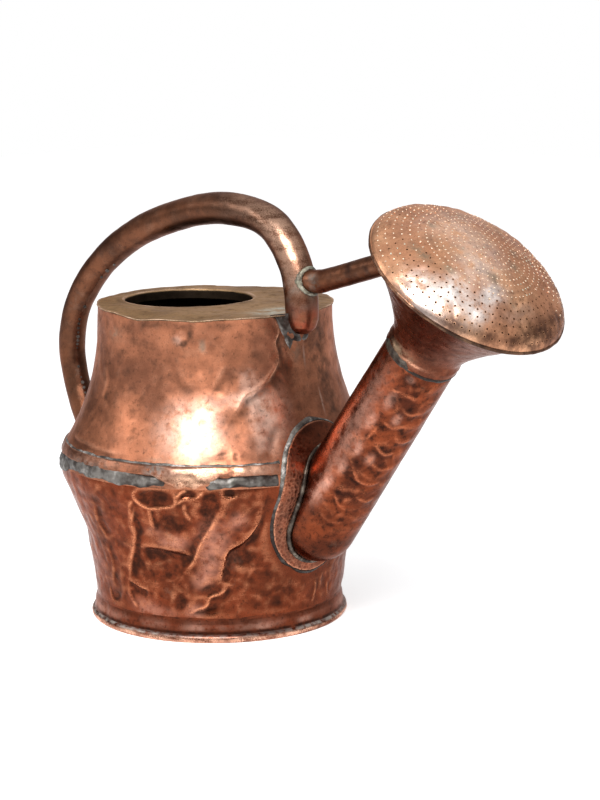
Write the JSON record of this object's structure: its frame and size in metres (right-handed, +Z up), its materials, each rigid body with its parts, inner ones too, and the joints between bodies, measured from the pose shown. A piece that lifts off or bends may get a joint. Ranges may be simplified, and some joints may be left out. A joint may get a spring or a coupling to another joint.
{
  "type": "old copper watering can",
  "caption": "Dented copper watering can with a flared two-part body, arched tube handle, braced spout and a pierced domed rose.",
  "frame": {"origin": "on the body's vertical axis, in the plane of the worn flat under the foot ring, that is at floor level", "axes": "+Z up, +X towards the spout and rose, +Y to the left of the spout"},
  "size_m": [0.5699, 0.2822, 0.3817],
  "materials": {
    "body_copper": "hammered copper with brown patina and worn bright ridges",
    "plate_copper": "dull khaki-brown patina on copper",
    "handle_copper": "dark brown copper, rubbed smooth",
    "spout_copper": "red-brown hammered copper",
    "rose_copper": "tan copper with green-grey stains and lime",
    "lead_solder": "lead-grey solder, uneven"
  },
  "bodies": {
    "root": {"lower_body": "body_copper", "upper_body": "body_copper", "waist_strap": "body_copper", "foot_ring": "body_copper", "base_plate": "body_copper", "top_plate": "plate_copper", "handle": "handle_copper", "brace": "handle_copper", "spout_flange": "body_copper", "spout": "spout_copper", "rose_neck": "spout_copper", "rose_face": "rose_copper", "waist_seam_solder": "lead_solder", "waist_lead_run": "lead_solder", "foot_solder": "lead_solder", "handle_front_solder": "lead_solder", "handle_rear_solder": "lead_solder", "brace_handle_solder": "lead_solder", "brace_rose_solder": "lead_solder", "flange_solder": "lead_solder", "spout_root_solder": "lead_solder", "neck_solder": "lead_solder"}
  },
  "joints": []
}
